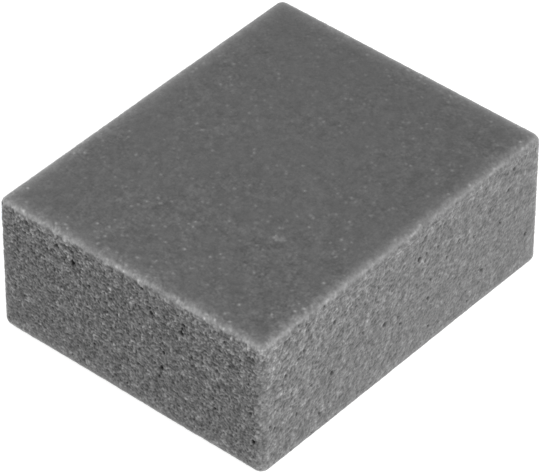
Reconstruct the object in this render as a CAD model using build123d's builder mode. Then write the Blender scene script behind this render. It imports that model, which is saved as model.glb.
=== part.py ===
from build123d import *
import os

# Foam sanding block: a resilient foam core, sealed all round by a flexible binder skin, with a grit
# coat on each of its six faces. The fine coats on the two broad faces wrap round the rounded edges
# like shallow trays, and the four medium coats between them meet at mitres on the corner edges.
#
# Frame, in millimetres: +X along the block, +Y towards its rear long side, +Z up. The origin is the
# centre of the broad face that the block stands on.

# The finished block
LENGTH = 64.0
WIDTH = 51.5
THICKNESS = 25.0
EDGE_RADIUS = 1.6

# The layers on the foam, from the outside in
FINE_COAT = 0.3
MEDIUM_COAT = 0.4
BINDER_SKIN = 0.2

# The planes where the two fine coats end, at the foot of the rounded edges
LOWER_RIM = Plane.XY.offset(EDGE_RADIUS)
UPPER_RIM = Plane.XY.offset(THICKNESS - EDGE_RADIUS)

# Each narrow face: the way it looks, the way it runs, how far out it lies, and half its length
NARROW_FACES = {
    "front_side_coat": (Vector(0, -1, 0), Vector(1, 0, 0), WIDTH / 2, LENGTH / 2),
    "rear_side_coat": (Vector(0, 1, 0), Vector(1, 0, 0), WIDTH / 2, LENGTH / 2),
    "left_end_coat": (Vector(-1, 0, 0), Vector(0, 1, 0), LENGTH / 2, WIDTH / 2),
    "right_end_coat": (Vector(1, 0, 0), Vector(0, 1, 0), LENGTH / 2, WIDTH / 2),
}


def rounded_block(side_inset, face_inset):
    """The block's shape, taken in by side_inset at the narrow faces and face_inset at the broad ones."""
    with BuildPart(Plane.XY.offset(face_inset)) as block:
        Box(
            LENGTH - 2 * side_inset,
            WIDTH - 2 * side_inset,
            THICKNESS - 2 * face_inset,
            align=(Align.CENTER, Align.CENTER, Align.MIN),
        )
        fillet(block.edges(), EDGE_RADIUS - side_inset)
    return block.part


def mitre(outward, along, reach, half_run):
    """The upright plane through one corner of a narrow face, at 45 degrees, facing that face."""
    corner = outward * reach + along * half_run
    return Plane(origin=corner, z_dir=outward - along)


def finish(piece, name):
    """Labels a finished sub-part and writes its STEP file."""
    piece.part.label = name
    export_step(piece.part, f"parts/{name}.step")


os.makedirs("parts", exist_ok=True)

outer_form = rounded_block(0, 0)
binder_form = rounded_block(MEDIUM_COAT, FINE_COAT)
core_form = rounded_block(MEDIUM_COAT + BINDER_SKIN, FINE_COAT + BINDER_SKIN)

# Foam core
with BuildPart() as foam_core:
    add(core_form)
finish(foam_core, "foam_core")

# Binder skin: one closed film round the whole core
with BuildPart() as binder_skin:
    add(binder_form)
    add(core_form, mode=Mode.SUBTRACT)
finish(binder_skin, "binder_skin")

# Fine coats on the two broad faces
with BuildPart() as top_face_coat:
    add(outer_form)
    add(binder_form, mode=Mode.SUBTRACT)
    split(bisect_by=UPPER_RIM, keep=Keep.TOP)
finish(top_face_coat, "top_face_coat")

with BuildPart() as bottom_face_coat:
    add(outer_form)
    add(binder_form, mode=Mode.SUBTRACT)
    split(bisect_by=LOWER_RIM, keep=Keep.BOTTOM)
finish(bottom_face_coat, "bottom_face_coat")

# Medium coats on the four narrow faces
for name, (outward, along, reach, half_run) in NARROW_FACES.items():
    with BuildPart() as narrow_coat:
        add(outer_form)
        add(binder_form, mode=Mode.SUBTRACT)
        split(bisect_by=UPPER_RIM, keep=Keep.BOTTOM)
        split(bisect_by=LOWER_RIM, keep=Keep.TOP)
        split(bisect_by=mitre(outward, along, reach, half_run), keep=Keep.TOP)
        split(bisect_by=mitre(outward, -along, reach, half_run), keep=Keep.TOP)
    finish(narrow_coat, name)
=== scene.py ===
"""A foam sanding block in its looks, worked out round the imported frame.

The block is a slab of grey foam in a dark resin skin. The two broad faces carry a fine grit that is
smooth and dark and wraps round the rounded edges, and the four narrow faces carry a medium grit,
granular and porous. Every piece is a closed shell on one rounded block, so neighbours meet at their
seams, and one set of random fields in space shapes them all, so the grain runs on across a seam.

Lengths are in millimetres until a mesh is made, and in metres from there on.
"""

from __future__ import annotations

import logging
import math
from dataclasses import dataclass, field
from enum import Enum, IntEnum

import bmesh
import bpy
import numpy as np
from mathutils import Matrix, Vector

import sys


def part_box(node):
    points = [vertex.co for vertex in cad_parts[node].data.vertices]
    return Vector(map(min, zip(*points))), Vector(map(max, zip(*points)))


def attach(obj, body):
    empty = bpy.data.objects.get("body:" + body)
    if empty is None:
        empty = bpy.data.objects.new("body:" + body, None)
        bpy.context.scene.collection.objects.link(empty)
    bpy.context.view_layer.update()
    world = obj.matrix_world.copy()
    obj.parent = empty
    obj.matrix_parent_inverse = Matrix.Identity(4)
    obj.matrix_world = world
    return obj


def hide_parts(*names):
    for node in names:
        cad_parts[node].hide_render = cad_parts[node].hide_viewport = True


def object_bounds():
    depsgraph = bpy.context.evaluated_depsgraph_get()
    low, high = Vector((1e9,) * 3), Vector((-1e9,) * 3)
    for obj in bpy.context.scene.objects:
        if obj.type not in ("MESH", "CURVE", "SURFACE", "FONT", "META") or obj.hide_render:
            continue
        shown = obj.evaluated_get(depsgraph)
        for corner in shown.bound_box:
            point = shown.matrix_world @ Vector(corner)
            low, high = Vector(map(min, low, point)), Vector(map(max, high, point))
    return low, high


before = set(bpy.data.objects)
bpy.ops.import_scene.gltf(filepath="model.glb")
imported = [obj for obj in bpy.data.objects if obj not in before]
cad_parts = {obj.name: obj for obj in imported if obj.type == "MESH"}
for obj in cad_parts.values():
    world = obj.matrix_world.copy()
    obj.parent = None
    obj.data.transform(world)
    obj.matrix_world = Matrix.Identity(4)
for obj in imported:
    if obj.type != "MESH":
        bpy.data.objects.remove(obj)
CAD_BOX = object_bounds()

MM = 0.001
BODY = "root"
Array = np.ndarray
Shares = tuple[tuple[float, float], ...]
Colour = tuple[float, float, float, float]
log = logging.getLogger("sanding_block")


def smoothstep(low: float, high: float, value: Array) -> Array:
    """Rises from 0 at low to 1 at high, level at both ends: 3t^2 - 2t^3 of the fraction between."""
    t = np.clip((value - low) / (high - low), 0.0, 1.0)
    return t * t * (3.0 - 2.0 * t)


def direction(azimuth: float, elevation: float) -> Vector:
    """The way from the block towards a place round it: (sin a cos e, -cos a cos e, sin e).

    Args:
        azimuth: Degrees round the block from straight in front, towards its right.
        elevation: Degrees above the horizon.

    Returns:
        A unit vector.
    """
    turn, rise = math.radians(azimuth), math.radians(elevation)
    level = math.cos(rise)
    return Vector((math.sin(turn) * level, -math.cos(turn) * level, math.sin(rise)))


class Seed(IntEnum):
    """The seed of each random field. Mixed noises take the seeds that follow it as well."""

    LAP = 11
    FOOT = 13
    GRAINS = 21
    BUBBLES = 23
    BED = 24
    MOTTLE = 27
    SPECKS = 31
    PATCHES = 33
    FINE_GRAIN = 36
    SWAY = 41
    RIPPLE = 51


@dataclass(frozen=True)
class SpaceNoise:
    """Random fields on a cubic lattice in space.

    Attributes:
        pitch: The side of a lattice cell, in millimetres.
        seed: The number that tells one field from another.
    """

    pitch: float
    seed: int

    AXIS_FACTORS = (0x8DA6B343, 0xD8163841, 0xCB1AB31F)
    STIRS = ((16, 0x7FEB352D), (15, 0x846CA68B), (16, 1))
    SEED_FACTOR = 7919
    CHANNEL_FACTOR = 104729
    REACH = 1.7

    def random(self, cells: Array, channel: int) -> Array:
        """A number from 0 to 1 for each lattice cell.

        The cell's three indices are multiplied by odd numbers and stirred by shifts and products.

        Args:
            cells: Whole-number cell indices, three in the last dimension.
            channel: Tells several numbers of one cell apart.

        Returns:
            One number for each cell.
        """
        key = (self.seed * self.SEED_FACTOR + channel * self.CHANNEL_FACTOR) & 0xFFFFFFFF
        stirred = np.full(cells.shape[:-1], key, np.uint32)
        for axis, factor in enumerate(self.AXIS_FACTORS):
            stirred ^= cells[..., axis].astype(np.uint32) * np.uint32(factor)
        for shift, factor in self.STIRS:
            stirred ^= stirred >> np.uint32(shift)
            stirred *= np.uint32(factor)
        return stirred / 2.0**32

    def smooth(self, places: Array) -> Array:
        """Gradient noise, about -1 to 1.

        Each lattice corner has a random slope. The eight corners' slopes, each times the way from
        its corner, are blended across the cell by the smooth quintic 6t^5 - 15t^4 + 10t^3.

        Args:
            places: Points in millimetres, three numbers in the last dimension.

        Returns:
            One value for each point.
        """
        at = places / self.pitch
        cell = np.floor(at).astype(np.int64)
        inside = at - cell
        blend = inside**3 * (inside * (inside * 6.0 - 15.0) + 10.0)
        total = np.zeros(at.shape[:-1])
        for corner in np.ndindex(2, 2, 2):
            corner = np.array(corner)
            slope = [self.random(cell + corner, channel) * 2.0 - 1.0 for channel in range(3)]
            way = inside - corner
            weight = np.prod(np.where(corner, blend, 1.0 - blend), axis=-1)
            total += weight * sum(slope[axis] * way[..., axis] for axis in range(3))
        return total * self.REACH

    @staticmethod
    def mixed(places: Array, shares: Shares, seed: int) -> Array:
        """Gradient noises of several sizes, each times its share.

        Args:
            places: Points in millimetres.
            shares: Pairs of a lattice pitch and its share.
            seed: The first one's seed; the others follow on from it.

        Returns:
            One value for each point.
        """
        sizes = enumerate(shares)
        return sum(share * SpaceNoise(pitch, seed + n).smooth(places) for n, (pitch, share) in sizes)

    def nearest(self, places: Array) -> tuple[Array, Array]:
        """The nearest of the points that lie one to a cell.

        Args:
            places: Points in millimetres, three numbers in the last dimension.

        Returns:
            The distance to it, in pitches, and its own random number.
        """
        at = places / self.pitch
        cell = np.floor(at).astype(np.int64)
        least = np.full(at.shape[:-1], np.inf)
        token = np.zeros_like(least)
        for step in np.ndindex(3, 3, 3):
            near = cell + np.array(step) - 1
            point = [near[..., axis] + self.random(near, axis) for axis in range(3)]
            away = np.sqrt(sum((at[..., axis] - point[axis]) ** 2 for axis in range(3)))
            closer = away < least
            token = np.where(closer, self.random(near, 3), token)
            least = np.where(closer, away, least)
        return least, token


class Side(Enum):
    """A narrow face: the way it looks and the way it runs."""

    FRONT = ((0, -1, 0), (1, 0, 0))
    REAR = ((0, 1, 0), (-1, 0, 0))
    LEFT = ((-1, 0, 0), (0, -1, 0))
    RIGHT = ((1, 0, 0), (0, 1, 0))

    @property
    def outward(self) -> Array:
        """The unit vector that the face looks along."""
        return np.array(self.value[0], float)

    @property
    def along(self) -> Array:
        """The unit vector to the right, as seen by someone who faces it."""
        return np.array(self.value[1], float)

    @property
    def is_end(self) -> bool:
        """Whether it is one of the two short faces."""
        return self in (Side.LEFT, Side.RIGHT)


@dataclass(frozen=True)
class Patch:
    """A grid of points on the rounded block.

    Attributes:
        places: The points, three numbers in the last dimension.
        outward: The way the block faces at each of them.
    """

    places: Array
    outward: Array

    def sunk(self, sideways: float, facewise: float) -> "Patch":
        """The same patch on a layer inside the block.

        Each point moves in along its normal, by one depth for the normal's level part and by
        another for its upright part, so a round edge becomes a quarter of an ellipse.

        Args:
            sideways: The layer's depth under the narrow faces.
            facewise: The layer's depth under the broad faces.

        Returns:
            The patch on the layer.
        """
        return Patch(self.places - self.outward * (sideways, sideways, facewise), self.outward)

    def raised(self, height: Array) -> Array:
        """The places after each one has moved out along its normal by height."""
        return self.places + self.outward * height[..., None]

    def reversed(self) -> "Patch":
        """The patch with its rows the other way round, so that its quads face the other way."""
        return Patch(self.places[::-1], self.outward[::-1])


@dataclass(frozen=True)
class BlockForm:
    """The block's outer form and its layers' depths, in millimetres.

    Attributes:
        length: Along X.
        width: Along Y.
        height: Along Z, from the base at 0.
        radius: Of every rounded edge.
        fine_coat: Thickness of the coats on the broad faces.
        medium_coat: Thickness of the coats on the narrow faces.
        skin: Thickness of the resin under the coats.
    """

    length: float
    width: float
    height: float
    radius: float
    fine_coat: float
    medium_coat: float
    skin: float

    @classmethod
    def from_frame(cls) -> "BlockForm":
        """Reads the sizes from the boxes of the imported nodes.

        Returns:
            The form.
        """
        nodes = ("binder_skin", "foam_core", "top_face_coat")
        boxes = np.array([CAD_BOX, *map(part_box, nodes)], float) / MM
        (low, high), (skin_low, skin_high), (core_low, _), (rim_low, rim_high) = boxes
        length, width, height = high - low
        return cls(
            length=length,
            width=width,
            height=height,
            radius=rim_high[2] - rim_low[2],
            fine_coat=high[2] - skin_high[2],
            medium_coat=skin_low[0] - low[0],
            skin=core_low[0] - skin_low[0],
        )

    def extent(self, side: Side) -> tuple[float, float]:
        """Half of a narrow face's run, and how far out from the middle it lies."""
        halves = (self.length / 2, self.width / 2)
        return halves[::-1] if side.is_end else halves

    def broad(self, x_marks: Array, y_marks: Array, top: bool) -> Patch:
        """A broad face with the whole of the rounded edges round it, as a tray.

        A mark from 0 to 1 is a fraction of the flat's half length, and from 1 to 2 it goes round
        the edge, from level to upright. On a corner the larger of the two angles is the turn away
        from upright and the ratio of the smaller to it is the turn about the upright axis, so the
        square grid closes round the corner without a pole.

        Args:
            x_marks: Marks along the block, from -2 to 2.
            y_marks: Marks across it, from -2 to 2.
            top: Whether it is the upper face.

        Returns:
            The patch, with its rows along X.
        """
        marks = np.stack(np.meshgrid(x_marks, y_marks, indexing="ij"), axis=-1)
        half_flat = np.array([self.length / 2 - self.radius, self.width / 2 - self.radius])
        flat = np.clip(marks, -1.0, 1.0) * half_flat
        turn = (abs(marks) - 1.0).clip(0.0) * (math.pi / 2)
        tilt = turn.max(axis=-1)
        ratio = turn.min(axis=-1) / np.where(tilt > 0, tilt, 1.0)
        swing = np.where(turn[..., 0] >= turn[..., 1], ratio, 2.0 - ratio) * (math.pi / 4)
        level = np.stack([np.cos(swing), np.sin(swing)], axis=-1) * np.sin(tilt)[..., None]
        level *= np.where(marks < 0, -1.0, 1.0)
        up = 1.0 if top else -1.0
        outward = np.concatenate([level, up * np.cos(tilt)[..., None]], axis=-1)
        middle = self.height / 2 + up * (self.height / 2 - self.radius)
        centre = np.concatenate([flat, np.full_like(flat[..., :1], middle)], axis=-1)
        return Patch(centre + outward * self.radius, outward)

    def narrow(self, side: Side, run_marks: Array, rise: Array) -> Patch:
        """A narrow face between the broad faces' edges, with half of each upright edge.

        The rounded part is centre + radius * outward, where outward swings by up to 45 degrees.

        Args:
            side: Which face.
            run_marks: Marks along it from -2 to 2: up to 1 on the flat, then round to 45 degrees.
            rise: Fractions of the way up, from 0 to 1.

        Returns:
            The patch, with its rows along the face.
        """
        half_run, reach = self.extent(side)
        run, up = np.meshgrid(run_marks, rise, indexing="ij")
        swing = (abs(run) - 1.0).clip(0.0) * (math.pi / 4) * np.sign(run)
        outward = np.cos(swing)[..., None] * side.outward + np.sin(swing)[..., None] * side.along
        flat = np.clip(run, -1.0, 1.0) * (half_run - self.radius)
        centre = side.outward * (reach - self.radius) + flat[..., None] * side.along
        centre = centre + outward * self.radius
        centre[..., 2] = self.radius + up * (self.height - 2 * self.radius)
        return Patch(centre, outward)


def edge_marks(flat_cells: int, edge_cells: int, crowding: float = 0.0) -> Array:
    """Marks from -2 to 2 across a face and round its two edges.

    Args:
        flat_cells: How many cells cover the flat.
        edge_cells: How many cover each rounded edge.
        crowding: How much the flat's cells crowd towards the edges, from 0 to under 1: a mark t on
            the flat is moved to t + crowding * sin(pi t) / pi.

    Returns:
        The marks, flat_cells + 2 * edge_cells + 1 of them.
    """
    even = np.linspace(-1.0, 1.0, flat_cells + 1)
    flat = even + crowding * np.sin(math.pi * even) / math.pi
    edge = np.linspace(1.0, 2.0, edge_cells + 1)[1:]
    return np.concatenate([-edge[::-1], flat, edge])


@dataclass(frozen=True)
class Pore:
    """An open foam cell in a narrow face.

    Attributes:
        side: The face that it is in.
        run: How far along the face from its middle, to the right.
        rise: How far above the base.
        radius: Of its mouth.
        depth: Of its middle.
    """

    side: Side
    run: float
    rise: float
    radius: float
    depth: float

    def middle(self, form: BlockForm) -> Array:
        """The place of its middle on the face of the block."""
        across = self.side.outward * form.extent(self.side)[1]
        return across + self.side.along * self.run + (0.0, 0.0, self.rise)


LARGE_PORES = (
    Pore(Side.LEFT, -10.8, 20.6, 0.56, 0.95),
    Pore(Side.LEFT, 4.4, 19.7, 0.48, 0.85),
    Pore(Side.LEFT, 4.2, 20.6, 0.30, 0.50),
    Pore(Side.LEFT, 10.2, 19.2, 0.54, 0.80),
    Pore(Side.LEFT, 10.4, 20.1, 0.30, 0.50),
    Pore(Side.LEFT, 6.3, 10.2, 0.52, 0.85),
    Pore(Side.LEFT, 5.8, 8.3, 0.32, 0.55),
    Pore(Side.LEFT, 16.6, 8.4, 0.32, 0.55),
    Pore(Side.LEFT, 23.8, 6.2, 0.50, 0.80),
    Pore(Side.LEFT, -7.0, 7.0, 0.34, 0.50),
    Pore(Side.FRONT, 3.2, 18.9, 0.60, 0.75),
    Pore(Side.FRONT, 4.4, 17.8, 0.32, 0.45),
    Pore(Side.FRONT, -4.7, 11.5, 0.50, 0.80),
    Pore(Side.FRONT, -16.5, 10.2, 0.50, 0.75),
    Pore(Side.FRONT, -11.2, 19.4, 0.38, 0.55),
    Pore(Side.FRONT, -9.5, 13.2, 0.32, 0.50),
    Pore(Side.FRONT, -26.8, 16.7, 0.42, 0.60),
    Pore(Side.FRONT, -29.2, 8.2, 0.36, 0.60),
    Pore(Side.FRONT, 16.0, 15.0, 0.36, 0.55),
    Pore(Side.FRONT, 28.6, 7.5, 0.42, 0.65),
    Pore(Side.FRONT, 5.4, 10.0, 0.38, 0.55),
    Pore(Side.REAR, -21.0, 15.5, 0.44, 0.80),
    Pore(Side.REAR, -6.5, 7.0, 0.38, 0.65),
    Pore(Side.REAR, 9.0, 18.2, 0.42, 0.75),
    Pore(Side.REAR, 19.5, 10.4, 0.36, 0.60),
    Pore(Side.REAR, 27.0, 5.8, 0.40, 0.70),
    Pore(Side.RIGHT, -17.5, 9.0, 0.42, 0.75),
    Pore(Side.RIGHT, -3.0, 17.5, 0.40, 0.70),
    Pore(Side.RIGHT, 8.5, 6.4, 0.36, 0.60),
    Pore(Side.RIGHT, 18.0, 19.0, 0.44, 0.80),
)


@dataclass(frozen=True)
class Scuff:
    """A small pale mark on the upper face, where grains are crushed.

    Attributes:
        along: Its place along X.
        across: Its place along Y.
        radius: Where it has faded to nothing.
        paleness: How much lighter its middle is, as a natural logarithm.
    """

    along: float
    across: float
    radius: float
    paleness: float

    def on(self, places: Array) -> Array:
        """Its paleness at each place: paleness * (1 - (d / radius)^2) at d from its middle."""
        away = np.hypot(places[..., 0] - self.along, places[..., 1] - self.across) / self.radius
        return self.paleness * (1.0 - away**2).clip(0.0)


SCUFFS = (
    Scuff(-12.1, -11.1, 0.55, 0.55),
    Scuff(-11.9, -12.0, 0.7, 0.7),
    Scuff(-13.9, -14.0, 1.6, 0.22),
    Scuff(-11.5, -6.8, 0.5, 0.45),
    Scuff(-5.1, -11.8, 0.5, 0.55),
    Scuff(-25.8, -12.2, 0.6, 0.4),
    Scuff(-27.7, -1.4, 0.5, 0.5),
    Scuff(-15.1, 2.1, 0.5, 0.3),
    Scuff(-3.7, -17.6, 0.6, 0.4),
    Scuff(-26.5, -19.6, 0.6, 0.4),
)


@dataclass(frozen=True)
class Skin:
    """What the random fields say of a patch.

    Attributes:
        height: How far it lies from the block's form; below it is less than 0.
        grit: 0 where the grit is fine and 1 where it is medium.
        tone: How light it is beside the grit's plain grey, painted highlight and painted shade
            included.
        pore: 1 inside an open pore, whose wall is painted dark as painted shade.
    """

    height: Array
    grit: Array
    tone: Array
    pore: Array


@dataclass(frozen=True)
class WearAndHighlight:
    """How much lighter the edges are, as a share of the plain grey: partly real edge wear and partly
    a painted highlight where the rounded edges catch the bright surroundings.

    Attributes:
        reach: The distance from an edge over which the lightening falls to 1/e.
        fine: On the fine grit, along the front side and the left end.
        fine_far_highlight: On the fine grit, along the rear side and the right end, where most of it
            is painted highlight.
        passing: Half the distance over which one of these passes into the other.
        medium_top: On the medium grit of the long sides, under the upper edges.
        medium_base: On the same, over the lower edges.
        ends: How many times more the ends are lightened than the long sides.
        upright: On the upright edges, much of it painted highlight.
        spared: On the upright edge of the front side and the left end, which gets less of the painted
            highlight.
        lap: Along the line where the fine coat laps over the medium one, on the ends.
        lap_place: That line's distance from the edge.
        lap_width: Its half width.
    """

    reach: float = 0.88
    fine: float = 2.7
    fine_far_highlight: float = 5.4
    passing: float = 2.0
    medium_top: float = 0.9
    medium_base: float = 1.4
    ends: float = 2.15
    upright: float = 1.5
    spared: float = 0.4
    lap: float = 1.1
    lap_place: float = 0.6
    lap_width: float = 0.22

    def on(self, form: BlockForm, patch: Patch, grit: Array) -> Array:
        """The lightening at each place, partly wear and partly painted highlight: strength *
        exp(-distance / reach) for both kinds of edge.

        A point's distance from a level edge is the larger of its distances inside a broad face and
        a narrow one, and from an upright edge the larger of those inside two narrow ones. The lap
        adds exp(-((distance - place) / width)^2) on the ends.

        Args:
            form: The block's form.
            patch: Points on it.
            grit: 0 where the grit is fine and 1 where it is medium.

        Returns:
            The share that each point is lighter by.
        """
        x, y, z = np.moveaxis(patch.places, -1, 0)
        from_end, from_side = form.length / 2 - abs(x), form.width / 2 - abs(y)
        level = np.maximum(np.minimum(z, form.height - z), np.minimum(from_end, from_side))
        upright = np.maximum(from_end, from_side)
        medium = np.where(z > form.height / 2, self.medium_top, self.medium_base)
        ends = patch.outward[..., 0] ** 2
        medium = medium * (1.0 + (self.ends - 1.0) * ends)
        far = smoothstep(-self.passing, self.passing, np.where(from_end < from_side, x, y))
        fine = self.fine + (self.fine_far_highlight - self.fine) * far
        strength = fine + (medium - fine) * grit
        corner = np.where((x < 0) & (y < 0), self.spared, self.upright)
        lap = self.lap * ends * np.exp(-(((level - self.lap_place) / self.lap_width) ** 2))
        # Lighter edges: partly wear, partly painted highlight, most on the rear and right edges.
        return strength * np.exp(-level / self.reach) + corner * np.exp(-upright / self.reach) + lap


@dataclass(frozen=True)
class Vigour:
    """How strong the grain is from place to place.

    Attributes:
        plain: Its strength far from the left end.
        gain: How much more it has at the left end.
        fade: The distance from there over which the gain falls to 1/e.
        low: Its strength at the base.
        slope: How much more it has at the top and, on the broad faces, in front than at the rear.
        foot: Its strength at the foot of a narrow face.
        foot_reach: The heights between which it recovers from that.
        foot_wander: The share of the noise that makes those heights wander.
        worn: The share of it that an edge takes away.
        worn_level: The distance from a level edge over which that falls to 1/e.
        worn_upright: The same from an upright edge.
        ends: How many times stronger it is on the ends, in relief and in light and dark; the
            stronger light and dark is partly painted shading, standing in for grazing light on the
            ends.
    """

    plain: float = 0.6
    gain: float = 0.55
    fade: float = 40.0
    low: float = 0.86
    slope: float = 0.28
    foot: float = 0.6
    foot_reach: tuple[float, float] = (0.6, 3.0)
    foot_wander: Shares = ((2.3, 1.0),)
    worn: float = 0.45
    worn_level: float = 0.9
    worn_upright: float = 1.1
    ends: float = 1.2

    def on(self, form: BlockForm, patch: Patch, grit: Array) -> Array:
        """The strength at each place, the product of what each of its causes gives.

        It falls away from the left end as plain + gain * exp(-distance / fade), and evenly from the
        top down and, on the broad faces, from front to rear. It rises smoothly over the foot. An
        edge takes away worn * exp(-distance / reach).

        Args:
            form: The block's form.
            patch: Points on it.
            grit: 0 where the grit is fine and 1 where it is medium.

        Returns:
            One factor for each point.
        """
        x, y, z = np.moveaxis(patch.places, -1, 0)
        onward = self.plain + self.gain * np.exp(-(x + form.length / 2) / self.fade)
        rising = self.low + self.slope * (z / form.height - y / form.width * (1.0 - grit))
        climb = z + SpaceNoise.mixed(patch.places, self.foot_wander, Seed.FOOT)
        standing = self.foot + (1.0 - self.foot) * smoothstep(*self.foot_reach, climb)
        drop = np.minimum(z, form.height - z)
        inward = np.maximum(form.length / 2 - abs(x), form.width / 2 - abs(y))
        worn = grit * np.exp(-drop / self.worn_level) + np.exp(-inward / self.worn_upright)
        # Stronger grain on the ends: real relief, and light and dark that is partly painted shading.
        ends = 1.0 + (self.ends - 1.0) * patch.outward[..., 0] ** 2
        return onward * rising * standing * (1.0 - self.worn * worn) * ends


@dataclass(frozen=True)
class MediumGrit:
    """The medium grit: a bed of round grains, with small pores where bubbles were cut.

    Attributes:
        height: How far a grain stands above the gaps.
        pitch: Distance between grains.
        reach: A grain's radius, in pitches.
        roundness: The grains' share of the bed's height.
        roughness: The shares of the noises that roughen the bed.
        variety: How much the grains differ in lightness.
        mottle: The shares of the larger noises that its lightness has as well.
        middle: The lightness of the plain grey.
        contrast: How strongly its lightness shows.
        bubble_pitch: Distance between bubbles.
        bubble_least: The smallest bubble's radius, in pitches.
        bubble_spread: How much larger the largest one's is.
        bubble_depth: How deep a small pore goes.
    """

    height: float = 0.20
    pitch: float = 0.42
    reach: float = 0.8
    roundness: float = 0.6
    roughness: Shares = ((0.4, 0.9), (0.8, 0.6))
    variety: float = 0.4
    mottle: Shares = ((1.6, 0.57), (3.6, 0.14))
    middle: float = 0.30
    contrast: float = 0.64
    bubble_pitch: float = 1.6
    bubble_least: float = 0.05
    bubble_spread: float = 0.21
    bubble_depth: float = 0.25

    def at(self, places: Array) -> tuple[Array, Array, Array]:
        """The bed, its lightness and its small pores.

        A grain is 1 - (d / reach)^2 high at d from its middle, and noise of its own size and of
        twice that is added. The lightness follows the same sum, so the grains' tops are lighter and
        the
        gaps darker: partly the grains' own grey and partly painted shade in the gaps. A pore is
        (1 - (d / r)^2)^1.5 deep at d from the middle of a bubble of radius r.

        Args:
            places: Points on the block's form.

        Returns:
            The height from -1 to 1, the lightness as a natural logarithm, and the pores from 0 to 1.
        """
        away, token = SpaceNoise(self.pitch, Seed.GRAINS).nearest(places)
        grain = 1.0 - (away / self.reach) ** 2
        bed = self.roundness * grain + SpaceNoise.mixed(places, self.roughness, Seed.BED)
        mottle = SpaceNoise.mixed(places, self.mottle, Seed.MOTTLE)
        # Lighter on the grains' tops and darker in the gaps: partly the grains' own grey, partly
        # painted shade.
        light = bed + self.variety * (token - 0.5) + mottle - self.middle
        away, token = SpaceNoise(self.bubble_pitch, Seed.BUBBLES).nearest(places)
        radius = self.bubble_least + self.bubble_spread * token**2
        pore = (1.0 - (away / radius) ** 2).clip(0.0) ** 1.5
        return bed.clip(-1.0, 1.0), self.contrast * light, pore


@dataclass(frozen=True)
class FineGrit:
    """The fine grit: low grain that is rougher in patches, with light specks here and there.

    Attributes:
        height: How far the grain stands up.
        patches: The shares of the noises that lay out the rough patches.
        patch_edge: Their sums where a patch begins and where it is full.
        roughness: The shares of the noises of the grain.
        calm: The grain's strength between the patches.
        lively: How much more it has in them.
        speck_pitch: Distance between the places where a speck may be.
        speck_reach: The largest speck's radius, in pitches.
        speck_shrink: How much that falls as a speck's random number rises from 0 to 1.
        speck_height: The highest speck's height.
        speck_fall: How much that falls in the same way.
        speck_share: The share of places that have one between the patches.
        patch_share: How much more it is in them.
        speck_edge: How far a random number is under the share where the speck is whole.
        grain_light_and_shade: How strongly the grain's lightness shows, lighter where it stands up
            and darker where it is low: partly the grit's own grey, partly painted shade.
        speck_light: How strongly the specks' does.
    """

    height: float = 0.11
    patches: Shares = ((4.2, 0.7), (9.0, 0.6))
    patch_edge: tuple[float, float] = (-0.55, 0.6)
    roughness: Shares = ((0.38, 0.65), (0.75, 0.5), (1.7, 0.42))
    calm: float = 0.7
    lively: float = 0.6
    speck_pitch: float = 0.95
    speck_reach: float = 0.45
    speck_shrink: float = 0.2
    speck_height: float = 1.2
    speck_fall: float = 2.0
    speck_share: float = 0.15
    patch_share: float = 0.5
    speck_edge: float = 0.15
    grain_light_and_shade: float = 0.38
    speck_light: float = 0.7

    def at(self, places: Array) -> tuple[Array, Array]:
        """The grain and its lightness.

        A speck is (1 - (d / r)^2)^2 times its height at d from its middle, out to its radius r.

        Args:
            places: Points on the block's form.

        Returns:
            The height from -1 to 1, and the lightness as a natural logarithm.
        """
        patches = SpaceNoise.mixed(places, self.patches, Seed.PATCHES)
        patches = smoothstep(*self.patch_edge, patches)
        grain = SpaceNoise.mixed(places, self.roughness, Seed.FINE_GRAIN)
        grain = grain * (self.calm + self.lively * patches)
        away, token = SpaceNoise(self.speck_pitch, Seed.SPECKS).nearest(places)
        radius = self.speck_reach - self.speck_shrink * token
        inside = (1.0 - (away / radius) ** 2).clip(0.0) ** 2
        share = self.speck_share + self.patch_share * patches
        there = smoothstep(0.0, self.speck_edge, share - token)
        speck = inside * (self.speck_height - self.speck_fall * token) * there
        # The grain is lighter where it stands up and darker where it is low: partly the grit's own
        # grey, partly painted shade.
        light = self.grain_light_and_shade * grain + self.speck_light * speck
        return (grain + speck).clip(-1.0, 1.0), light


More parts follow.
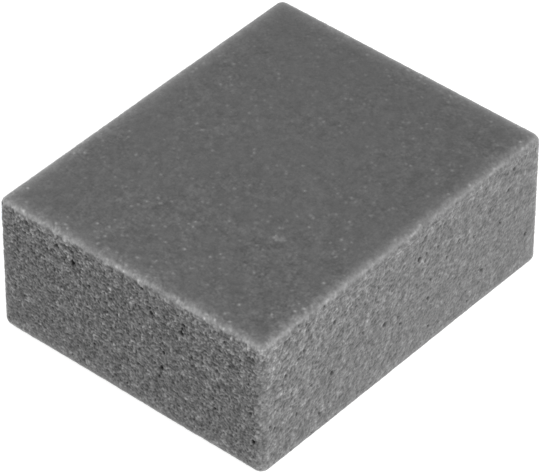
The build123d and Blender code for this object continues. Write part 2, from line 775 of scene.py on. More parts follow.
@dataclass(frozen=True)
class Relief:
    """The relief and the lightness of the coated foam.

    Attributes:
        form: The block that it is on.
        pores: The large pores, each with its own place.
        scuffs: The pale marks on the upper face.
        wear_and_highlight: How much lighter the edges are, partly from wear and partly painted
            highlight.
        vigour: How strong the grain is.
        medium: The grit of the narrow faces.
        fine: The grit of the broad faces.
        lap_edge: How far down the rounded edge the medium grit begins, and where it is whole.
        lap_wander: The shares of the noises that make that line wander.
        sway: How far a face strays from flat.
        sway_sizes: The shares of the noises that it strays by.
        deepest: The lowest that the relief goes outside the large pores.
        clearance: How much wider than a large pore the dip in the layers under it is.
        painted_shade_depth: How deep a large pore is where its wall is painted fully dark, as painted
            shade.
        lean: How much lighter the broad faces are towards the left end.
        pale_height: The height on the upright edge of the front side and the left end where the
            medium grit is palest.
        pale_gain: How much lighter it is there, as a natural logarithm.
        pale_reach: The distance over which that falls to 1/e.
        end_painted_shade: How much darker the ends are painted, as a natural logarithm: painted shade
            for the lesser light on the ends.
    """

    form: BlockForm
    pores: tuple[Pore, ...] = LARGE_PORES
    scuffs: tuple[Scuff, ...] = SCUFFS
    wear_and_highlight: WearAndHighlight = WearAndHighlight()
    vigour: Vigour = Vigour()
    medium: MediumGrit = MediumGrit()
    fine: FineGrit = FineGrit()
    lap_edge: tuple[float, float] = (0.55, 1.0)
    lap_wander: Shares = ((1.7, 0.22), (0.6, 0.14))
    sway: float = 0.03
    sway_sizes: Shares = ((17.0, 1.0), (7.0, 0.4))
    deepest: float = 0.36
    clearance: float = 1.2
    painted_shade_depth: float = 0.5
    lean: float = 0.06
    pale_height: float = 20.0
    pale_gain: float = 0.12
    pale_reach: float = 8.0
    end_painted_shade: float = 0.05

    def well(self, places: Array, spread: float = 0.0) -> Array:
        """How deep the large pores go: depth * (1 - (d / r)^2)^2 at d from a pore's middle.

        Args:
            places: Points on the block's form.
            spread: How much larger than the pore's radius r is.

        Returns:
            The depth at each point, 0 away from the pores.
        """
        deep = np.zeros(places.shape[:-1])
        for pore in self.pores:
            away = np.linalg.norm(places - pore.middle(self.form), axis=-1)
            inside = (1.0 - (away / (pore.radius + spread)) ** 2).clip(0.0)
            deep = np.maximum(deep, pore.depth * inside**2)
        return deep

    def dip(self, places: Array) -> Array:
        """How far the layers under the coats dip below the large pores, to stay clear of them."""
        return self.well(places, self.clearance)

    def grit_share(self, places: Array) -> Array:
        """Where the medium grit lies, with a rim that wanders along the rounded edge.

        Args:
            places: Points on the block's form.

        Returns:
            0 on the broad faces and 1 on the narrow ones.
        """
        z = places[..., 2]
        drop = np.minimum(z, self.form.height - z)
        wander = SpaceNoise.mixed(places, self.lap_wander, Seed.LAP)
        return smoothstep(*self.lap_edge, drop + wander)

    def toning(self, patch: Patch, grit: Array) -> Array:
        """How light the coats are apart from their grain and their edge lightening.

        It is pale_gain * exp(-distance / pale_reach) from the palest place, less the ends' painted
        shade, plus the scuffs, as a natural logarithm, and the lean of the broad faces is a factor.

        Args:
            patch: Points on the block's form.
            grit: 0 where the grit is fine and 1 where it is medium.

        Returns:
            One factor for each point.
        """
        form, places = self.form, patch.places
        palest = (-form.length / 2, -form.width / 2, self.pale_height)
        pale = self.pale_gain * np.exp(-np.linalg.norm(places - palest, axis=-1) / self.pale_reach)
        # The ends are painted darker: painted shade.
        lightness = (pale - self.end_painted_shade * patch.outward[..., 0] ** 2) * grit
        upper = places[..., 2] > form.height / 2
        lightness += sum(scuff.on(places) for scuff in self.scuffs) * upper
        lean = 1.0 - self.lean * places[..., 0] / (form.length / 2) * (1.0 - grit)
        return np.exp(lightness) * lean

    def on(self, patch: Patch) -> Skin:
        """Works out the relief of a patch of the block's surface.

        Each grit's height is scaled so that its highest grains touch the block's form, and both lie
        on a slow sway. The tone is exp(lightness), times the toning, times 1 plus the edge
        lightening, which is partly wear and partly painted highlight.

        Args:
            patch: Points on the block's outer form.

        Returns:
            The height of each point and the fields for its colour.
        """
        places = patch.places
        grit = self.grit_share(places)
        vigour = self.vigour.on(self.form, patch, grit)
        bed, medium_light_and_shade, pore = self.medium.at(places)
        grain, fine_light_and_shade = self.fine.at(places)
        large = self.well(places)
        sway = SpaceNoise.mixed(places, self.sway_sizes, Seed.SWAY)
        medium_rise = vigour * self.medium.height * (bed - 1.0) / 2
        fine_rise = self.fine.height * (grain - 1.0) / 2
        height = grit * (medium_rise - self.medium.bubble_depth * pore) + (1.0 - grit) * fine_rise
        height = np.maximum(height + self.sway * (sway - 1.0), -self.deepest) - large * grit
        # The lightness follows the grain's height, darker in its hollows: partly the grit's own grey,
        # partly painted shade.
        tone = np.exp(vigour * (grit * medium_light_and_shade + (1.0 - grit) * fine_light_and_shade))
        # Lighter edges: partly wear, partly painted highlight.
        wear_and_highlight = self.wear_and_highlight.on(self.form, patch, grit)
        return Skin(
            height=height,
            grit=grit,
            tone=tone * self.toning(patch, grit) * (1.0 + wear_and_highlight),
            # Pores are painted dark: painted shade.
            pore=np.maximum(pore, (large / self.painted_shade_depth).clip(0.0, 1.0)) * grit,
        )


def grid_shares(rows: int, columns: int) -> Array:
    """How far along and across a grid each of its points lies, from 0 to 1."""
    marks = (np.linspace(0, 1, rows + 1), np.linspace(0, 1, columns + 1))
    return np.stack(np.meshgrid(*marks, indexing="ij"), axis=-1)


def grid_faces(rows: int, columns: int) -> Array:
    """The quads of a grid of cells.

    Args:
        rows: How many rows of cells it has.
        columns: How many cells a row has.

    Returns:
        Four point numbers for each quad, where points are numbered row by row.
    """
    across = columns + 1
    corner = np.arange(rows)[:, None] * across + np.arange(columns)
    return np.stack([corner, corner + across, corner + across + 1, corner + 1], -1).reshape(-1, 4)


def grid_border(rows: int, columns: int) -> Array:
    """The numbers of the points round a grid's border, in the order of its quads' corners."""
    at = np.arange((rows + 1) * (columns + 1)).reshape(rows + 1, columns + 1)
    return np.concatenate([at[:-1, 0], at[-1, :-1], at[:0:-1, -1], at[0, :0:-1]])


def halving_faces(wide: Array, narrow: Array) -> Array:
    """Triangles between a ring of points and a ring with half as many.

    Each step of the small ring spans two of the large one, and is joined to them by three triangles.

    Args:
        wide: Point numbers of the large ring.
        narrow: Point numbers of the small ring.

    Returns:
        The triangles, which face the same way as the grid that the large ring borders.
    """
    first, middle, last = wide[0::2], wide[1::2], np.roll(wide[0::2], -1)
    here, there = narrow, np.roll(narrow, -1)
    triples = [(first, here, middle), (middle, here, there), (middle, there, last)]
    return np.concatenate([np.stack(triple, axis=-1) for triple in triples])


def weld(mesh: bpy.types.Mesh) -> None:
    """Joins points that lie within a thousandth of a millimetre of each other.

    Args:
        mesh: The mesh, which is changed in place.
    """
    work = bmesh.new()
    work.from_mesh(mesh)
    bmesh.ops.remove_doubles(work, verts=work.verts, dist=0.001 * MM)
    work.to_mesh(mesh)
    work.free()


@dataclass
class ShellMesh:
    """A closed shell, gathered part by part.

    Attributes:
        name: The mesh's name.
        points: The places of its points, in millimetres.
        flat_map: Their places on the flat map.
        fields: Their values of each field.
        faces: The point numbers of its faces.
    """

    name: str
    points: list[Array] = field(default_factory=list)
    flat_map: list[Array] = field(default_factory=list)
    fields: dict[str, list[Array]] = field(default_factory=dict)
    faces: list[Array] = field(default_factory=list)

    def add_points(self, places: Array, flat: Array, fields: dict[str, Array]) -> int:
        """Adds points.

        Args:
            places: The points, in millimetres.
            flat: Their places on the flat map, 0 to 1 each way.
            fields: Their values of each field.

        Returns:
            The number of the first one.
        """
        start = sum(len(part) for part in self.points)
        self.points.append(places.reshape(-1, 3))
        self.flat_map.append(flat.reshape(-1, 2))
        for name, values in fields.items():
            self.fields.setdefault(name, []).append(values.reshape(-1))
        return start

    def build(self, welded: bool = False) -> bpy.types.Object:
        """Makes the object, in metres, with its flat map and its fields.

        Args:
            welded: Whether parts that meet are joined.

        Returns:
            The object, linked to the scene.
        """
        mesh = bpy.data.meshes.new(self.name)
        places = np.concatenate(self.points) * MM
        corners = np.concatenate([part.ravel() for part in self.faces]).astype(np.int32)
        totals = np.concatenate([np.full(len(part), part.shape[1]) for part in self.faces])
        starts = np.concatenate([[0], np.cumsum(totals)[:-1]]).astype(np.int32)
        mesh.vertices.add(len(places))
        mesh.vertices.foreach_set("co", places.astype(np.float32).ravel())
        mesh.loops.add(len(corners))
        mesh.loops.foreach_set("vertex_index", corners)
        mesh.polygons.add(len(starts))
        mesh.polygons.foreach_set("loop_start", starts)
        mesh.update(calc_edges=True)
        flat = np.concatenate(self.flat_map)[corners].astype(np.float32)
        mesh.uv_layers.new(name="OFBake").uv.foreach_set("vector", flat.ravel())
        for name, values in self.fields.items():
            layer = mesh.attributes.new(name, "FLOAT", "POINT")
            layer.data.foreach_set("value", np.concatenate(values).astype(np.float32))
        mesh.polygons.foreach_set("use_smooth", np.ones(len(starts), bool))
        mesh.validate()
        if welded:
            weld(mesh)
        shell = bpy.data.objects.new(self.name, mesh)
        bpy.context.scene.collection.objects.link(shell)
        return shell


def dress(
    piece: bpy.types.Object, finish: bpy.types.Material, node: str
) -> bpy.types.Object:
    """Gives a piece its material and its place in the frame.

    Args:
        piece: The finished piece.
        finish: Its material.
        node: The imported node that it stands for.

    Returns:
        The piece.
    """
    piece.data.materials.append(finish)
    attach(piece, BODY)
    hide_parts(node)
    log.info("%s: %d faces of %s", piece.name, len(piece.data.polygons), finish.name)
    return piece


@dataclass
class GritCoat:
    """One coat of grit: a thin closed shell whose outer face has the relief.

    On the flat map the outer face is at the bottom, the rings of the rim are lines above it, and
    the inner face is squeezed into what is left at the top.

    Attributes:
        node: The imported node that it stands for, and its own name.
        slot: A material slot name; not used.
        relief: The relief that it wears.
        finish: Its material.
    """

    node: str
    slot: str
    relief: Relief
    finish: bpy.types.Material

    STEP = 8
    MARGIN = 0.01
    RIM_PLACE = 0.86
    RIM_PITCH = 0.01
    INNER_PLACE = 0.91
    FIELD_NAMES = ("grit", "tone", "pore")

    def outer_patch(self) -> Patch:
        """The coat's part of the block's outer form, on a grid that STEP divides."""
        raise NotImplementedError

    def flat_frame(self) -> Array:
        """The outer face's width and height on the flat map."""
        raise NotImplementedError

    def add_rim(
        self, mesh: ShellMesh, ring: Array, places: Array, inner: Array, fields: dict[str, Array]
    ) -> Array:
        """Adds the rings of points between the outer face's border and the inner one's.

        Each ring has half as many points as the one before it and is an equal share of the way
        further in: place + share * (inner - place).

        Args:
            mesh: The shell so far.
            ring: The point numbers of the outer face's border.
            places: The places of those points.
            inner: The place on the inner face's border that each of them is drawn towards.
            fields: Their values of each field.

        Returns:
            The point numbers of the innermost ring, which has twice the inner border's number.
        """
        halvings = int(math.log2(self.STEP))
        for turn in range(1, halvings):
            stride = 2**turn
            between = (places + (inner - places) * turn / halvings)[::stride]
            around = np.linspace(self.MARGIN, 1 - self.MARGIN, len(between), endpoint=False)
            band = np.full_like(around, self.RIM_PLACE + self.RIM_PITCH * turn)
            values = {name: part[::stride] for name, part in fields.items()}
            start = mesh.add_points(between, np.stack([around, band], axis=-1), values)
            next_ring = start + np.arange(len(between))
            mesh.faces.append(halving_faces(ring, next_ring))
            ring = next_ring
        return ring

    def build(self) -> bpy.types.Object:
        """Makes the shell and dresses it.

        The outer face is the fine grid, with its relief. The inner face is every STEP-th point of
        it, sunk by the coat's thickness and below the large pores. The rim joins the two.

        Returns:
            The coat.
        """
        form, step = self.relief.form, self.STEP
        mesh = ShellMesh(self.node)
        outer = self.outer_patch()
        skin = self.relief.on(outer)
        raised = outer.raised(skin.height)
        fields = {name: getattr(skin, name) for name in self.FIELD_NAMES}
        rows, columns = (size - 1 for size in raised.shape[:2])
        shares = grid_shares(rows, columns)
        flat = self.MARGIN + shares * (self.flat_frame() - 2 * self.MARGIN)
        mesh.add_points(raised, flat, fields)
        mesh.faces.append(grid_faces(rows, columns))

        coarse = Patch(outer.places[::step, ::step], outer.outward[::step, ::step])
        under = coarse.sunk(form.medium_coat, form.fine_coat).raised(-self.relief.dip(coarse.places))
        inner_border = grid_border(rows // step, columns // step)
        corners = under.reshape(-1, 3)[inner_border]
        ahead = np.roll(corners, -1, axis=0)
        along = np.linspace(0, 1, step, endpoint=False)[:, None]
        inner = (corners[:, None] + (ahead - corners)[:, None] * along).reshape(-1, 3)
        border = grid_border(rows, columns)
        border_fields = {name: values.reshape(-1)[border] for name, values in fields.items()}
        ring = self.add_rim(mesh, border, raised.reshape(-1, 3)[border], inner, border_fields)

        low = np.array([self.MARGIN, self.INNER_PLACE])
        flat = low + shares[::step, ::step] * (1 - self.MARGIN - low)
        inner_fields = {name: values[::step, ::step] for name, values in fields.items()}
        start = mesh.add_points(under, flat, inner_fields)
        mesh.faces.append(halving_faces(ring, inner_border + start))
        mesh.faces.append(grid_faces(rows // step, columns // step)[:, ::-1] + start)
        return dress(mesh.build(), self.finish, self.node)


@dataclass
class BroadCoat(GritCoat):
    """The fine coat on a broad face, a tray with the rounded edges as its rim.

    Attributes:
        top: Whether it is the upper face's.
    """

    top: bool = True

    FLAT_CELLS = (304, 240)
    EDGE_CELLS = 16
    CROWDING = 0.22

    def outer_patch(self) -> Patch:
        """The broad face and its edges, on cells that crowd towards the edges.

        Returns:
            The patch, with 336 by 272 cells.
        """
        marks = [edge_marks(cells, self.EDGE_CELLS, self.CROWDING) for cells in self.FLAT_CELLS]
        patch = self.relief.form.broad(*marks, self.top)
        return patch if self.top else patch.reversed()

    def flat_frame(self) -> Array:
        """As wide as the map, in the face's own proportions."""
        return np.array([1.0, self.relief.form.width / self.relief.form.length])


@dataclass
class NarrowCoat(GritCoat):
    """The medium coat on a narrow face, from one upright edge's middle to the next.

    Attributes:
        side: Which face.
    """

    side: Side = Side.FRONT

    END_CELLS = (408, 184)
    LONG_CELLS = (488, 176)
    EDGE_CELLS = 12

    def outer_patch(self) -> Patch:
        """The narrow face, on cells of about an eighth of a millimetre.

        Returns:
            The patch, with 432 by 184 cells on an end and 512 by 176 on a long side.
        """
        along, up = self.END_CELLS if self.side.is_end else self.LONG_CELLS
        marks = edge_marks(along, self.EDGE_CELLS)
        return self.relief.form.narrow(self.side, marks, np.linspace(0, 1, up + 1))

    def flat_frame(self) -> Array:
        """As wide as the map, in the face's own proportions."""
        form = self.relief.form
        return np.array([1.0, form.height / (2 * form.extent(self.side)[0])])


@dataclass
class InnerBlock:
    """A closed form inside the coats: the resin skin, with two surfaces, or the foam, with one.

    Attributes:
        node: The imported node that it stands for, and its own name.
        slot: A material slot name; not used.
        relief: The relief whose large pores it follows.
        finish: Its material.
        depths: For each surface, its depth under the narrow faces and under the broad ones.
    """

    node: str
    slot: str
    relief: Relief
    finish: bpy.types.Material
    depths: tuple[tuple[float, float], ...]

    LENGTH_CELLS = 60
    WIDTH_CELLS = 48
    HEIGHT_CELLS = 22
    EDGE_CELLS = 4
    RIPPLE = 0.03
    RIPPLE_PITCH = 1.2
    TILES = 4
    TILE_MARGIN = 0.02

    def patches(self) -> list[Patch]:
        """The six faces of the block's form, on grids that share their border points.

        Returns:
            The upper face, the lower one and the narrow ones.
        """
        form = self.relief.form
        x_marks = edge_marks(self.LENGTH_CELLS, self.EDGE_CELLS)
        y_marks = edge_marks(self.WIDTH_CELLS, self.EDGE_CELLS)
        rise = np.linspace(0, 1, self.HEIGHT_CELLS + 1)
        faces = [form.broad(x_marks, y_marks, True), form.broad(x_marks, y_marks, False).reversed()]
        for side in Side:
            faces.append(form.narrow(side, y_marks if side.is_end else x_marks, rise))
        return faces

    def build(self) -> bpy.types.Object:
        """Makes the closed form and dresses it.

        Each surface ripples a little and dips below the large pores. The first one faces outwards
        and the second, the wall's inside, inwards. Each face has a tile of the flat map.

        Returns:
            The form, its faces welded where they meet.
        """
        mesh = ShellMesh(self.node)
        surfaces = [(depth, patch) for depth in self.depths for patch in self.patches()]
        for number, ((sideways, facewise), patch) in enumerate(surfaces):
            under = patch.sunk(sideways, facewise)
            ripple = SpaceNoise(self.RIPPLE_PITCH, Seed.RIPPLE).smooth(under.places) - 1.0
            places = under.raised(self.RIPPLE * ripple - self.relief.dip(patch.places))
            rows, columns = (size - 1 for size in places.shape[:2])
            shares = grid_shares(rows, columns) * (1 - 2 * self.TILE_MARGIN)
            tile = np.array([number % self.TILES, number // self.TILES])
            flat = (tile + self.TILE_MARGIN + shares) / self.TILES
            faces = grid_faces(rows, columns) + mesh.add_points(places, flat, {})
            outermost = (sideways, facewise) == self.depths[0]
            mesh.faces.append(faces if outermost else faces[:, ::-1])
        return dress(mesh.build(welded=True), self.finish, self.node)


class Wire:
    """A value in a material: the sums that it is used in add Math nodes."""

    def __init__(self, board: "NodeBoard", socket: bpy.types.NodeSocket) -> None:
        """Wraps an output socket of a board's node."""
        self.board = board
        self.socket = socket

    def maths(self, operation: str, *values: "Wire | float", clamp: bool = False) -> "Wire":
        """Adds a Math node.

        Args:
            operation: The node's operation.
            *values: Its inputs.
            clamp: Whether the result is kept from 0 to 1.

        Returns:
            Its result.
        """
        settings = {"operation": operation, "use_clamp": clamp}
        return self.board.add("ShaderNodeMath", settings, dict(enumerate(values))).out(0)

    def __add__(self, other: "Wire | float") -> "Wire":
        """The sum."""
        return self.maths("ADD", self, other)

    def __sub__(self, other: "Wire | float") -> "Wire":
        """The difference."""
        return self.maths("SUBTRACT", self, other)

    def __rsub__(self, other: "Wire | float") -> "Wire":
        """The difference, the other way round."""
        return self.maths("SUBTRACT", other, self)

    def __mul__(self, other: "Wire | float") -> "Wire":
        """The product."""
        return self.maths("MULTIPLY", self, other)

    def __truediv__(self, other: "Wire | float") -> "Wire":
        """The quotient."""
        return self.maths("DIVIDE", self, other)

    def __rtruediv__(self, other: "Wire | float") -> "Wire":
        """The quotient, the other way round."""
        return self.maths("DIVIDE", other, self)

    def __gt__(self, other: "Wire | float") -> "Wire":
        """1 where it is the greater, else 0."""
        return self.maths("GREATER_THAN", self, other)

    __radd__ = __add__
    __rmul__ = __mul__

    def held(self) -> "Wire":
        """The value, kept from 0 to 1."""
        return self.maths("ADD", self, 0.0, clamp=True)


class Placed:
    """A node that has been added, with its outputs as wires."""

    def __init__(self, board: "NodeBoard", node: bpy.types.Node) -> None:
        """Wraps a board's node."""
        self.board = board
        self.node = node

    def out(self, key: int | str) -> Wire:
        """The output with this number, name or identifier."""
        return Wire(self.board, self.board.socket(self.node.outputs, key))


class NodeBoard:
    """A material's nodes."""

    def __init__(self, name: str) -> None:
        """Starts a material with no nodes.

        Args:
            name: The material's name.
        """
        self.material = bpy.data.materials.new(name)
        self.material.use_nodes = True
        self.tree = self.material.node_tree
        self.tree.nodes.clear()

    @staticmethod
    def socket(sockets: bpy.types.bpy_prop_collection, key: int | str) -> bpy.types.NodeSocket:
        """Finds a socket by its number, or by its identifier or name."""
        if isinstance(key, int):
            return sockets[key]
        return next(found for found in sockets if key in (found.identifier, found.name))

    def add(self, kind: str, settings: dict[str, object], sockets: dict[int | str, object]) -> Placed:
        """Adds a node.

        Args:
            kind: The node's type.
            settings: Its properties, which are set first.
            sockets: A value or a wire for each of its inputs.

        Returns:
            The node.
        """
        node = self.tree.nodes.new(kind)
        for name, value in settings.items():
            setattr(node, name, value)
        for key, value in sockets.items():
            target = self.socket(node.inputs, key)
            if isinstance(value, Wire):
                self.tree.links.new(value.socket, target)
            else:
                target.default_value = value
        return Placed(self, node)

    def field(self, name: str) -> Wire:
        """One of the piece's own fields."""
        return self.add("ShaderNodeAttribute", {"attribute_name": name}, {}).out("Fac")

    def noise(self, size: float, detail: float, seed: float) -> Wire:
        """Soft noise.

        Args:
            size: The size of its features, in millimetres.
            detail: How many finer noises are added to it.
            seed: Tells one noise from another.

        Returns:
            Values from 0 to 1, about a half.
        """
        here = self.add("ShaderNodeTexCoord", {}, {}).out("Object")
        settings = {"noise_dimensions": "4D"}
        sockets = {"Vector": here, "W": seed, "Scale": 1.0 / (size * MM), "Detail": detail}
        return self.add("ShaderNodeTexNoise", settings, sockets).out("Fac")

    def specks(self, pitch: float, radius: float, share: float) -> Wire:
        """Round specks, one to a cell of a pitch, of which only a share is there.

        A speck is 1 - d / r at d from its middle, and its radius r is from 0.3 to 1 of the largest.

        Args:
            pitch: The cell's size in millimetres.
            radius: The largest speck's radius in millimetres.
            share: The share of cells that have one.

        Returns:
            1 in the middle of a speck, falling to 0 at its rim and outside.
        """
        here = self.add("ShaderNodeTexCoord", {}, {}).out("Object")
        sockets = {"Vector": here, "Scale": 1.0 / (pitch * MM)}
        cells = self.add("ShaderNodeTexVoronoi", {}, sockets)
        tokens = self.add("ShaderNodeSeparateColor", {}, {"Color": cells.out("Color")})
        size = (tokens.out(1) * 0.7 + 0.3) * (radius / pitch)
        inside = 1.0 - cells.out("Distance") / size
        return inside.held() * (tokens.out(0) > 1.0 - share)

    def blend(self, share: Wire | float, first: Wire | Colour, second: Wire | Colour) -> Wire:
        """A colour between two.

        Args:
            share: How much of the second one there is, from 0 to 1.
            first: The first colour.
            second: The second colour.

        Returns:
            The mixed colour.
        """
        settings = {"data_type": "RGBA", "blend_type": "MIX"}
        sockets = {"Factor_Float": share, "A_Color": first, "B_Color": second}
        return self.add("ShaderNodeMix", settings, sockets).out("Result_Color")

    def scaled(self, colour: Wire | Colour, factor: Wire) -> Wire:
        """A colour times a number."""
        sockets = {0: colour if isinstance(colour, Wire) else colour[:3], "Scale": factor}
        return self.add("ShaderNodeVectorMath", {"operation": "SCALE"}, sockets).out(0)

    def bump(self, height: Wire, depth: float, strength: float) -> Wire:
        """The normal of a surface whose height varies by a depth in millimetres."""
        sockets = {"Strength": strength, "Distance": depth * MM, "Height": height}
        return self.add("ShaderNodeBump", {}, sockets).out("Normal")

    def finish(self, surface: dict[int | str, object]) -> bpy.types.Material:
        """Adds the surface shader and the output.

        Args:
            surface: A value or a wire for each of the shader's sockets that isn't left alone.

        Returns:
            The material.
        """
        shader = self.add("ShaderNodeBsdfPrincipled", {}, surface)
        self.add("ShaderNodeOutputMaterial", {}, {"Surface": shader.out(0)})
        return self.material


def grey(value: float) -> Colour:
    """A grey of this brightness, with no tint."""
    return (value, value, value, 1.0)


@dataclass(frozen=True)
class GritFinish:
    """The look of both grits, which share one material recipe because they meet on every edge.

    Attributes:
        name: The material's name.
        fine: Plain grey of the fine grit.
        medium: Plain grey of the medium grit.
        pore_painted_shade: The near-black painted inside an open pore, as painted shade.
        crumb_size: Of the crumbs on a grain, in millimetres.
        crystal_pitch: Distance between the places where a bare crystal may be.
        crystal_radius: The largest crystal's radius.
        crystal_share: The share of those places that have one.
        painted_glint: How much lighter the crystals are painted: partly their own paler grey, partly
            a painted glint.
        crumb_depth: How much the crumbs change the grey of the fine grit, and of the medium one.
        painted_glint_share: How much of the painted glint the fine grit's crystals have, and the
            medium one's.
        dullness: The roughness of the fine grit.
        medium_dullness: How much rougher the medium grit is.
        uneven_dullness: How much the roughness varies from place to place.
        gloss: How much less rough the crystals are.
        tooth: How far the crumbs stand up, in millimetres.
        tooth_share: How much of that the fine grit has, and the medium one.
        crystal_tooth: How much of it the crystals have.
        tooth_strength: How strongly it shows.
        specular: How strongly the grit reflects.
        sheen: The strength of its dusty sheen.
        sheen_roughness: How wide the sheen spreads.
    """

    name: str
    fine: float = 0.0955
    medium: float = 0.117
    pore_painted_shade: float = 0.012
    crumb_size: float = 0.24
    crystal_pitch: float = 0.5
    crystal_radius: float = 0.17
    crystal_share: float = 0.28
    painted_glint: float = 0.9
    crumb_depth: tuple[float, float] = (0.6, 1.45)
    painted_glint_share: tuple[float, float] = (0.4, 1.0)
    dullness: float = 0.70
    medium_dullness: float = 0.1
    uneven_dullness: float = 0.12
    gloss: float = 0.3
    tooth: float = 0.06
    tooth_share: tuple[float, float] = (0.3, 1.1)
    crystal_tooth: float = 0.6
    tooth_strength: float = 0.35
    specular: float = 0.35
    sheen: float = 0.25
    sheen_roughness: float = 0.5

    def make(self) -> bpy.types.Material:
        """Makes the material.

        The grey of the grit is multiplied by the tone that the piece carries, by fine crumbs, and
        on the crystals by their painted glint, partly their own paler grey and partly a painted
        highlight; the crystals are also smoother than the rest. Crumbs and crystals are stronger on
        the medium grit. Open pores are painted near black, as painted shade.

        Returns:
            The material.
        """
        board = NodeBoard(self.name)
        grit, tone, pore = board.field("grit"), board.field("tone"), board.field("pore")
        plain = board.blend(grit, grey(self.fine), grey(self.medium))
        crumbs = board.noise(size=self.crumb_size, detail=2.0, seed=3.0) - 0.5
        crumbs = crumbs * self.by_grit(grit, self.crumb_depth) + 1.0
        crystals = board.specks(self.crystal_pitch, self.crystal_radius, self.crystal_share)
        # Crystals painted lighter: partly their own grey, partly a painted glint.
        painted_glints = crystals * self.by_grit(grit, self.painted_glint_share) * self.painted_glint + 1.0
        # Open pores painted near black: painted shade.
        colour = board.blend(pore, board.scaled(plain, tone * crumbs * painted_glints), grey(self.pore_painted_shade))
        uneven = board.noise(size=0.5, detail=1.0, seed=5.0) * self.uneven_dullness
        roughness = grit * self.medium_dullness + uneven + self.dullness - crystals * self.gloss
        teeth = board.noise(size=0.2, detail=2.0, seed=6.0)
        bumps = teeth * self.by_grit(grit, self.tooth_share) + crystals * self.crystal_tooth
        surface = {
            "Base Color": colour,
            "Roughness": roughness,
            "Normal": board.bump(bumps, self.tooth, self.tooth_strength),
            "Specular IOR Level": self.specular,
            "Sheen Weight": self.sheen,
            "Sheen Roughness": self.sheen_roughness,
        }
        return board.finish(surface)

    @staticmethod
    def by_grit(grit: Wire, ends: tuple[float, float]) -> Wire:
        """A number that passes from its fine end to its medium one: fine + (medium - fine) * grit.

        Args:
            grit: 0 where the grit is fine and 1 where it is medium.
            ends: The number on the fine grit and on the medium one.

        Returns:
            The number there.
        """
        fine, medium = ends
        return grit * (medium - fine) + fine


@dataclass(frozen=True)
class ResinFinish:
    """The dark, flexible resin that seals the foam and holds the grit.

    Attributes:
        name: The material's name.
        brightness: Its plain grey.
    """

    name: str
    brightness: float = 0.022

    def make(self) -> bpy.types.Material:
        """Makes the material: nearly black, a little uneven and half glossy.

        Returns:
            The material.
        """
        board = NodeBoard(self.name)
        tone = board.noise(size=2.0, detail=3.0, seed=1.0) * 0.9 + 0.55
        waves = board.noise(size=0.7, detail=2.0, seed=3.0)
        surface = {
            "Base Color": board.scaled(grey(self.brightness), tone),
            "Roughness": board.noise(size=1.1, detail=2.0, seed=2.0) * 0.25 + 0.35,
            "Normal": board.bump(waves, depth=0.05, strength=0.4),
        }
        return board.finish(surface)


@dataclass(frozen=True)
class FoamFinish:
    """The open-cell foam of the core.

    Attributes:
        name: The material's name.
        brightness: Its plain grey.
        cell_pitch: Distance between its cells, in millimetres.
        cell_radius: The largest cell's radius.
        cell_share: The share of the cells that are open.
    """

    name: str
    brightness: float = 0.10
    cell_pitch: float = 0.8
    cell_radius: float = 0.42
    cell_share: float = 0.9

    def make(self) -> bpy.types.Material:
        """Makes the material: matt grey, with small cells painted dark as painted shade in their
        hollows.

        Returns:
            The material.
        """
        board = NodeBoard(self.name)
        cells = board.specks(self.cell_pitch, self.cell_radius, self.cell_share)
        tone = board.noise(size=3.0, detail=2.0, seed=1.0) * 0.5 + 0.75
        walls = board.scaled(grey(self.brightness), tone)
        surface = {
            # The open cells are painted dark: painted shade in their hollows.
            "Base Color": board.blend(cells * 0.8, walls, grey(self.brightness * 0.3)),
            "Roughness": board.noise(size=0.8, detail=2.0, seed=2.0) * 0.1 + 0.85,
            "Normal": board.bump(1.0 - cells, depth=0.2, strength=0.8),
        }
        return board.finish(surface)


@dataclass(frozen=True)
class SandingBlock:
    """The whole block: foam, resin skin and six coats of grit.

    Attributes:
        relief: The form that they share, and the relief that it wears.
    """

    relief: Relief

    def build(self) -> list[bpy.types.Object]:
        """Makes the pieces, from the inside out.

        Returns:
            The eight pieces.
        """
        form = self.relief.form
        under_coat = (form.medium_coat, form.fine_coat)
        under_skin = (form.medium_coat + form.skin, form.fine_coat + form.skin)
        foam = FoamFinish("resilient_foam").make()
        resin = ResinFinish("flexible_resin").make()
        fine = GritFinish("fine_grit").make()
        medium = GritFinish("medium_grit").make()

        core = InnerBlock("foam_core", "foam", self.relief, foam, (under_skin,)).build()
        skin_depths = (under_coat, under_skin)
        pieces = [core, InnerBlock("binder_skin", "binder", self.relief, resin, skin_depths).build()]
        for node, top in (("top_face_coat", True), ("bottom_face_coat", False)):
            pieces.append(BroadCoat(node, "fine_grit", self.relief, fine, top).build())
        for node, side in (
            ("front_side_coat", Side.FRONT),
            ("rear_side_coat", Side.REAR),
            ("left_end_coat", Side.LEFT),
            ("right_end_coat", Side.RIGHT),
        ):
            pieces.append(NarrowCoat(node, "medium_grit", self.relief, medium, side).build())
        return pieces


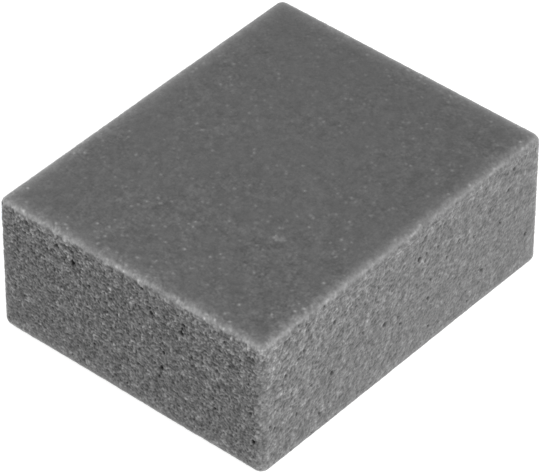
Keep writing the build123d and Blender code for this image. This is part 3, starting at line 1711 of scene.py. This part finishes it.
@dataclass(frozen=True)
class Viewpoint:
    """The camera, a long lens that looks down on the corner of the front side and the left end.

    Attributes:
        azimuth: Degrees round the block from straight in front, towards its right.
        elevation: Degrees above the horizon.
        roll: Degrees that the camera leans.
        distance: From the block's middle, in metres.
        lens: Focal length in millimetres on a sensor 36 mm wide.
        right: How far right of the view's middle the block's middle lies, in metres.
        up: How far above it.
    """

    azimuth: float = -49.29
    elevation: float = 40.61
    roll: float = -0.11
    distance: float = 0.66869
    lens: float = 298.85
    right: float = 0.000336
    up: float = 0.00135

    def build(self) -> None:
        """Makes the camera and makes it the scene's own."""
        back = direction(self.azimuth, self.elevation)
        across = Vector((0, 0, 1)).cross(back).normalized()
        over = back.cross(across)
        lean = Matrix.Rotation(-math.radians(self.roll), 3, back)
        across, over = lean @ across, lean @ over
        low, high = CAD_BOX
        data = bpy.data.cameras.new("camera")
        data.sensor_width = 36.0
        data.lens = self.lens
        data.clip_start = 0.01
        data.clip_end = 20.0
        camera = bpy.data.objects.new("camera", data)
        bpy.context.scene.collection.objects.link(camera)
        place = (low + high) / 2 + back * self.distance - across * self.right - over * self.up
        axes = Matrix((across, over, back)).transposed().to_4x4()
        camera.matrix_world = Matrix.Translation(place) @ axes
        bpy.context.scene.camera = camera


@dataclass(frozen=True)
class Softbox:
    """A square lamp that looks at the block.

    Attributes:
        name: The lamp's name.
        azimuth: Degrees round the block from straight in front, towards its right.
        elevation: Degrees above the horizon.
        distance: From the block, in metres.
        size: Of the lamp's side, in metres.
        power: In watts.
    """

    name: str
    azimuth: float
    elevation: float
    distance: float
    size: float
    power: float

    def build(self) -> None:
        """Makes the lamp."""
        away = direction(self.azimuth, self.elevation)
        data = bpy.data.lights.new(self.name, "AREA")
        data.shape = "SQUARE"
        data.size = self.size
        data.energy = self.power
        lamp = bpy.data.objects.new(self.name, data)
        lamp.location = away * self.distance
        lamp.rotation_euler = away.to_track_quat("Z", "Y").to_euler()
        bpy.context.scene.collection.objects.link(lamp)


@dataclass(frozen=True)
class Studio:
    """The pale floor, the even sky and the soft lamps.

    Attributes:
        sky: The sky's brightness.
        floor_size: Of the floor's side, in metres.
        rim_height: Of the low wall round the floor, which hides the sky from level views.
        floor_glow: The floor's own light.
        floor_tone: Its grey.
        lamps: The lamps.
    """

    sky: float = 0.25
    floor_size: float = 4.4
    rim_height: float = 0.13
    floor_glow: float = 0.85
    floor_tone: float = 0.40
    lamps: tuple[Softbox, ...] = (
        Softbox("key_lamp", -10.0, 30.0, 1.2, 0.5, 11.5),
        Softbox("back_lamp", 170.0, 40.0, 1.2, 0.5, 7.0),
    )

    def build(self) -> None:
        """Makes the sky, the floor and the lamps, and sets plain colours for the screen."""
        scene = bpy.context.scene
        world = bpy.data.worlds.new("sky")
        world.use_nodes = True
        background = world.node_tree.nodes["Background"]
        background.inputs["Color"].default_value = grey(1.0)
        background.inputs["Strength"].default_value = self.sky
        scene.world = world
        scene.view_settings.view_transform = "Standard"
        half = self.floor_size / 2
        mesh = bpy.data.meshes.new("floor")
        level = CAD_BOX[0].z - 0.02 * MM
        corners = [(-half, -half), (half, -half), (half, half), (-half, half)]
        points = [(x, y, z) for z in (level, self.rim_height) for x, y in corners]
        walls = [(n, n + 4, (n + 1) % 4 + 4, (n + 1) % 4) for n in range(4)]
        mesh.from_pydata(points, [], [(0, 1, 2, 3), *walls])
        floor = bpy.data.objects.new("floor", mesh)
        scene.collection.objects.link(floor)
        board = NodeBoard("floor_white")
        surface = {
            "Base Color": grey(self.floor_tone),
            "Roughness": 0.9,
            "Emission Color": grey(1.0),
            "Emission Strength": self.floor_glow,
        }
        mesh.materials.append(board.finish(surface))
        for lamp in self.lamps:
            lamp.build()


def main() -> None:
    """Builds the camera, the block and the studio."""
    logging.basicConfig(level=logging.INFO, format="%(name)s: %(message)s", stream=sys.stdout)
    Viewpoint().build()
    pieces = SandingBlock(Relief(BlockForm.from_frame())).build()
    log.info("%d pieces", len(pieces))
    Studio().build()


if __name__ == "__main__":
    main()
